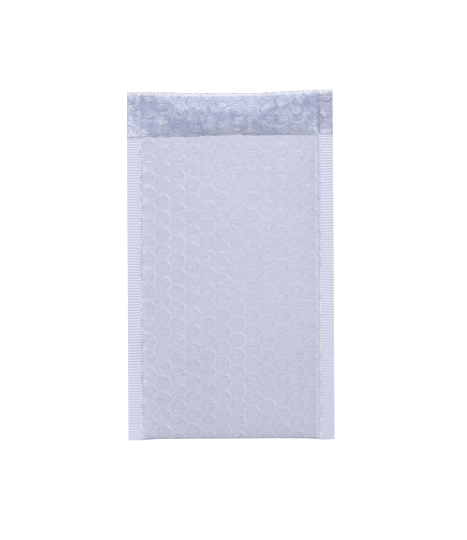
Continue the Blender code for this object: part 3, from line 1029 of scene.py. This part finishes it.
def liner_margins(finish, at):
    """Adds the masks of the margins: crinkled at the left with painted glints, dark and quiet at
    the right.
    """
    on_right = finish.ease(at.x, -0.01, 0.01)
    at.margin = finish.ease(abs(at.u), POCKET_HALF - 0.0025, POCKET_HALF + 0.0010)
    at.crumpled = 1.0 - 0.80 * on_right
    slanted = finish.vector((at.x - at.y) * 130.0, (at.x + at.y) * 320.0, 2.0)
    crinkle = near(finish, finish.noise(slanted, 1.0, 1.0), 0.5, 0.024)
    crinkle = crinkle + creases(finish, at.place, 70.0, 210.0, 4.0, 0.020)
    some = finish.patches(at.place, 150.0, 1.0, 0.46, 0.58)
    at.crinkle = crinkle * (0.25 + 0.95 * some)
    at.quiet = at.margin * on_right * (1.0 - 0.25 * finish.ease(-at.s, 0.015, 0.027))


def liner_ends(finish, at):
    """Adds the masks of what lies along the flap: painted light at the mouth, painted shade below
    the hinge crease and in a band across the flap, and the sealed end.
    """
    at.near_mouth = 1.0 - finish.ease(-at.s, 0.0015, 0.0070)
    at.hinge = (1.0 - finish.ease(-at.s, HINGE - 0.0004, HINGE)) * finish.ease(at.u, -0.024, -0.012)
    at.sunk = near(finish, at.s, SUNK_BAND, 0.0050) * finish.ease(at.haze, 0.35, 0.60)
    at.sealed = 1.0 - finish.ease(FLAP_LENGTH - BARE_FILM_EDGE + at.s, 0.0, SEALED_WIDTH)


def bubble_film():
    """The liner's material: dark rings and creases with painted shade on a cloudy blue-grey,
    painted highlights and glints on top.
    """
    finish = Finish("clear_bubble_film", Roughness=0.2, IOR=1.50)
    finish.set(Coat_Weight=1.0, Coat_Roughness=0.11)
    at = look_up(finish)
    at.inside = 1.0 - finish.ease(at.away, RIM_MM - 0.7, RIM_MM)
    at.patchy = finish.patches(at.place, 170.0, 1.0, 0.38, 0.64)
    at.cloud = finish.noise(at.place, 50.0, 3.0, 0.55)
    at.haze = finish.noise(at.place, 175.0, 3.0, 0.6)
    for add_masks in (liner_rings, liner_creases, liner_margins, liner_ends):
        add_masks(finish, at)
    colour = finish.glaze(
        LINER_DEEP,
        (finish.ease(at.cloud * 0.45 + at.haze * 0.55, 0.40, 0.60), LINER_PALE),
        # Painted shade: a darker band across the flap where the lamp's reflection is weaker.
        (at.sunk * 0.35, LINER_QUIET),
        (at.quiet * 0.90, LINER_QUIET),
        # Painted shade below the hinge crease, near the mouth.
        (at.hinge * 0.16, LINER_RIM),
        (at.margin * at.crumpled * (0.10 + 0.7 * at.cloud), LINER_CRUSHED),
        (at.rim * (0.66 + 0.34 * at.patchy), LINER_RIM),
        (at.inner_ring * (0.10 + 0.42 * at.patchy), LINER_RIM),
        # Painted shade along a crease.
        (at.level_line * 0.85, LINER_RIM),
        # Painted highlights: the bright arcs, wrinkle stripes, strands and crinkle glints.
        (at.under_line * (0.35 + 0.65 * at.first), LINER_BRIGHT),
        (at.smile * (0.36 + 0.60 * at.patchy), LINER_BRIGHT),
        (at.outer_arc * (0.66 - 0.42 * at.patchy), LINER_BRIGHT),
        (at.stripes * (0.14 + 0.42 * at.first), LINER_BRIGHT),
        (at.wander * (0.15 + 0.40 * at.second), LINER_BRIGHT),
        (at.strand * 0.30, LINER_BRIGHT),
        (at.margin * (0.05 + 0.95 * at.crumpled) * at.crinkle * 0.48, LINER_BRIGHT),
        (at.quiet * 0.28, LINER_QUIET),
        # Painted light near the mouth, against the shade of the front's edge.
        (at.near_mouth * 0.26, LINER_BRIGHT),
        (at.sealed * (0.45 + 0.5 * at.cloud), LINER_SEALED),
    )
    raised = at.stripes * 1.2 + at.wander * 1.0 + at.smile * 0.9
    height = raised - at.rim * 0.8 - at.level_line * 1.1 + at.strand * 0.8
    height = height + at.margin * at.crumpled * at.crinkle * 0.4
    height = height + at.cloud * 1.2 + at.haze * 0.9 + at.inside * at.first * 0.3
    finish.set(Base_Color=colour, Roughness=0.13 + 0.10 * at.cloud)
    finish.bump(height, 0.00012)
    return finish.done()


liner_finish = bubble_film()


# %% [markdown]
# ## Lining of the flap
#
# The flap's lining is what the photo shows best, so it has the finest grid. Besides its bubbles
# it has long soft creases in line with the seams' inner edges and crumpled margins.

# %% Flap lining
FLAP_SPACING = 0.00036
FLAP_BUBBLE_RISE = 0.00012
FLAP_STRETCH = 1.07
FLAP_TUCK = 0.0060
FLAP_INSET = 0.0005
MARGIN_RAMP = 0.0014
CREASE_DEPTH = 0.0004
CREASE_WIDTH = 0.0007
CRUMPLE = 0.0006


def flap_crumple(x, y):
    """Irregular tucks in the margins, strongest at the left."""
    margin = smooth(np.abs(x), POCKET_HALF - 0.004, POCKET_HALF + 0.001)
    side = np.where(x < 0, 0.75, 0.25)
    folded = np.abs(ripple(x, y, 0.0150, 4)) + 0.5 * np.abs(ripple(x, y, 0.0080, 9))
    return margin * side * CRUMPLE * folded


def flap_slip(x):
    """How far the bubbles at both ends of the flap lie nearer to the mouth than the others."""
    return 0.0017 * smooth(-x, 0.038, 0.047) + 0.0020 * smooth(x, 0.0535, 0.0545)


def flap_lining():
    """A layer on the back's film: the liner's thickness, its creases, waves and bubbles above it.

    Past the mouth it is as wide as the flap. Its part in the pocket has no margins: their points
    are drawn in to the liner's edge there.
    """
    flap_half = HALF_WIDTH - FLAP_INSET
    low, high = MOUTH - FLAP_TUCK, FLAP_END - BARE_FILM_EDGE
    x = even_steps(-flap_half, flap_half, FLAP_SPACING)
    y = even_steps(low, high, FLAP_SPACING)
    x, y = np.meshgrid(x, y)
    x = np.where(y < MOUTH + CLEARANCE, np.clip(x, -LINER_HALF, LINER_HALF), x)
    s = MOUTH - y
    floor = back_lining(x, y) + CLEARANCE + flap_arch(x, y)
    crease = -CREASE_DEPTH * np.exp(-(((np.abs(x) - POCKET_HALF) / CREASE_WIDTH) ** 2))
    beside_pocket = np.abs(x) > LINER_HALF
    on_seam = smooth(np.abs(x), POCKET_HALF - 0.0004, POCKET_HALF + 0.0006)
    thin = 1.0 - 0.9 * on_seam * (1.0 - smooth(y, MOUTH, MOUTH + MARGIN_RAMP))
    level = floor + (liner_thickness(x, y) + flap_crumple(x, y)) * thin + crease
    field = bubble_field(x, s - flap_slip(x), FLAP_STRETCH)
    level += 0.00030 * ripple(x, y, 0.017, 2) + 0.00010 * ripple(x, y, 0.0080, 6)
    level += bubble_relief(field, FLAP_BUBBLE_RISE)
    at_mouth = beside_pocket * np.exp(-np.maximum(y - MOUTH, 0) / 0.006)
    y = y + flap_stretch(x, y) + at_mouth * mouth_edge(x)
    outer = np.stack([x, y, level], axis=-1)
    inner = np.stack([x, y, floor], axis=-1)[::COARSE, ::COARSE]
    return shell("flap_lining", outer, inner, liner_finish, **marks_of(field, x, s))


lining_on_flap = flap_lining()


# %% [markdown]
# ## Lining of the pocket
#
# Inside the pocket the liner is one folded sheet, seen only by someone who looks into the mouth.
# It uses the same folded surface as the front panel, with its own heights.

# %% Pocket lining
POCKET_SPACING = 0.0012
POCKET_BITE = 0.0002
LEAST_BEND = 0.0001


def skin_top(x, y):
    """Top of the liner under the front's film."""
    return front_lining(x, y) - CLEARANCE


def skin_bottom(x, y):
    """Underside of the liner on the back's film."""
    return back_lining(x, y) + CLEARANCE


def liner_ceiling(x, y):
    """Ceiling of the pocket: the front's liner seen from inside."""
    return skin_top(x, y) - liner_thickness(x, y)


def liner_floor(x, y):
    """Floor of the pocket: the back's liner seen from inside."""
    return skin_bottom(x, y) + liner_thickness(x, y)


def inner_bend(x):
    """How far the pocket reaches past the fold line."""
    return POCKET_BITE * swell(x, FRONT_SQUARENESS)


def outer_bend(x):
    """How far the liner reaches past the fold line, just clear of the film around it."""
    room = (FOLD_DEPTH - EMBOSS - FILM) * swell(x, FRONT_SQUARENESS) - CLEARANCE
    return np.maximum(room, LEAST_BEND)


def pocket_lining():
    """Two folded sheets, the liner's two faces, closed along their borders."""
    back_run = MOUTH - FLAP_TUCK - FOLD_LINE
    u = even_steps(-LINER_HALF, LINER_HALF, POCKET_SPACING)
    s = even_steps(0.0, FRONT_RUN + FOLD_ARC + back_run, POCKET_SPACING)
    u, s = np.meshgrid(u, s)
    inside = wrapped(u, s, liner_ceiling, liner_floor, inner_bend)
    outside = wrapped(u, s, skin_top, skin_bottom, outer_bend)
    for face in (inside, outside):
        face[..., 1] += mouth_shift(u, s)
    kept = marks_of(bubble_field(u, s), u, s)
    return shell("pocket_lining", inside, outside[::COARSE, ::COARSE], liner_finish, **kept)


lining_in_pocket = pocket_lining()

# %% [markdown]
# ## What stands for what
#
# Each piece rides on the envelope's one body, and the imported solid that it replaces is hidden.

# %% Joining the pieces to the frame
for piece in (film_front, film_back, seam_left, seam_right):
    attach(piece, "root")
    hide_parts("outer_film")
for piece in (lining_on_flap, lining_in_pocket):
    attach(piece, "root")
    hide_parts("bubble_liner")

# %% [markdown]
# ## Floor, light and camera
#
# The envelope lies on a white sheet that prints as pure white, so the floor shines a little to
# the camera and to mirror rays, and keeps its faint shadow. A large soft lamp hangs above the
# flap, a small one at the lower left models the bubbles, and a weak one brightens the flap's end.

# %% Floor
FLOOR_HALF = 1.5
FLOOR_LEVEL = -0.0002
FLOOR_GLOW = 0.62
WHITE = (1.0, 1.0, 1.0)


def in_sight(graph):
    """1 for rays from the camera, off a mirror or through glass, 0 for light on the object."""
    seen = graph.node("ShaderNodeLightPath", output="Is Camera Ray")
    for kind in ("Is Glossy Ray", "Is Transmission Ray"):
        seen = graph.math("MAXIMUM", seen, graph.node("ShaderNodeLightPath", output=kind))
    return seen


def white_floor():
    """One large square just under the envelope."""
    turns = ((-1, -1), (1, -1), (1, 1), (-1, 1))
    corners = [(x * FLOOR_HALF, y * FLOOR_HALF, FLOOR_LEVEL) for x, y in turns]
    mesh = bpy.data.meshes.new("floor")
    mesh.from_pydata(corners, [], [(0, 1, 2, 3)])
    floor = bpy.data.objects.new("floor", mesh)
    bpy.context.scene.collection.objects.link(floor)
    finish = Finish("white_sheet", Roughness=0.9, Specular_IOR_Level=0.1)
    finish.set(Base_Color=(0.80, 0.80, 0.80))
    shine = in_sight(finish) * FLOOR_GLOW
    glow = finish.node("ShaderNodeEmission", {}, {"Color": WHITE, "Strength": shine})
    sheet = Wire(finish, finish.shader.outputs[0])
    both = finish.node("ShaderNodeAddShader", {}, {0: sheet, 1: glow})
    finish.put(finish.tree.nodes["Material Output"].inputs["Surface"], both)
    mesh.materials.append(finish.done())
    return floor


floor = white_floor()


# %% Lamps and world
ROOM_LEVEL = 0.76


def lamp(name, place, size, watts, aim=(0.0, 0.0, 0.0)):
    """A soft box, tilted and then turned so that it faces its aim."""
    light = bpy.data.lights.new(name, "AREA")
    light.shape = "RECTANGLE"
    light.size, light.size_y = size
    light.energy = watts
    holder = bpy.data.objects.new(name, light)
    bpy.context.scene.collection.objects.link(holder)
    holder.location = place
    back = np.array(place) - np.array(aim)
    tilt = math.acos(back[2] / np.linalg.norm(back))
    holder.rotation_euler = (0.0, tilt, math.atan2(back[1], back[0]))
    print(name, "gives", watts, "W from", round(float(np.linalg.norm(back)), 2), "m")


def studio_world():
    """White all round: a plain level on the object, and full white where it is seen or mirrored."""
    world = bpy.data.worlds.new("studio")
    world.use_nodes = True
    sky = Graph(world.node_tree)
    level = sky.node("ShaderNodeMapRange", {}, {"Value": in_sight(sky), "To Min": ROOM_LEVEL})
    background = sky.tree.nodes["Background"]
    sky.put(background.inputs["Strength"], level)
    sky.put(background.inputs["Color"], WHITE)
    bpy.context.scene.world = world


lamp("overhead_softbox", (0.05, 0.42, 0.85), (0.50, 0.60), 1.9, aim=(0.0, 0.05, 0.0))
lamp("lower_left_box", (-0.75, -0.80, 0.85), (0.18, 0.18), 1.7)
lamp("upper_fill", (0.10, 0.60, 0.50), (0.30, 0.30), 0.40)
studio_world()

# %% [markdown]
# ## Camera
#
# The photo is 467 by 540 pixels, and a pixel is 0.724 mm on the envelope's top. A long lens two
# metres up keeps the view straight down. The envelope leans three tenths of a degree to the
# left, and its middle lies about 3 px left of the picture's middle and 5 px above it.

# %% Camera
PIXEL = 0.0007238
PICTURE_HEIGHT = 540
CAMERA_HEIGHT = 2.0
SENSOR_MM = 36.0
LEAN = math.radians(-0.30)
MIDDLE_OFFSET = (2.85, 5.45)

lens = bpy.data.cameras.new("camera")
lens.sensor_width = SENSOR_MM
lens.lens = SENSOR_MM * CAMERA_HEIGHT / (PICTURE_HEIGHT * PIXEL)
lens.clip_end = 20.0
camera = bpy.data.objects.new("camera", lens)
camera.location = (MIDDLE_OFFSET[0] * PIXEL, -MIDDLE_OFFSET[1] * PIXEL, CAMERA_HEIGHT + CROWN)
camera.rotation_euler = (0.0, 0.0, LEAN)
bpy.context.scene.collection.objects.link(camera)
bpy.context.scene.camera = camera
bpy.context.scene.view_settings.view_transform = "Standard"
print("a lens of", round(lens.lens), "mm,", CAMERA_HEIGHT, "m above the envelope")
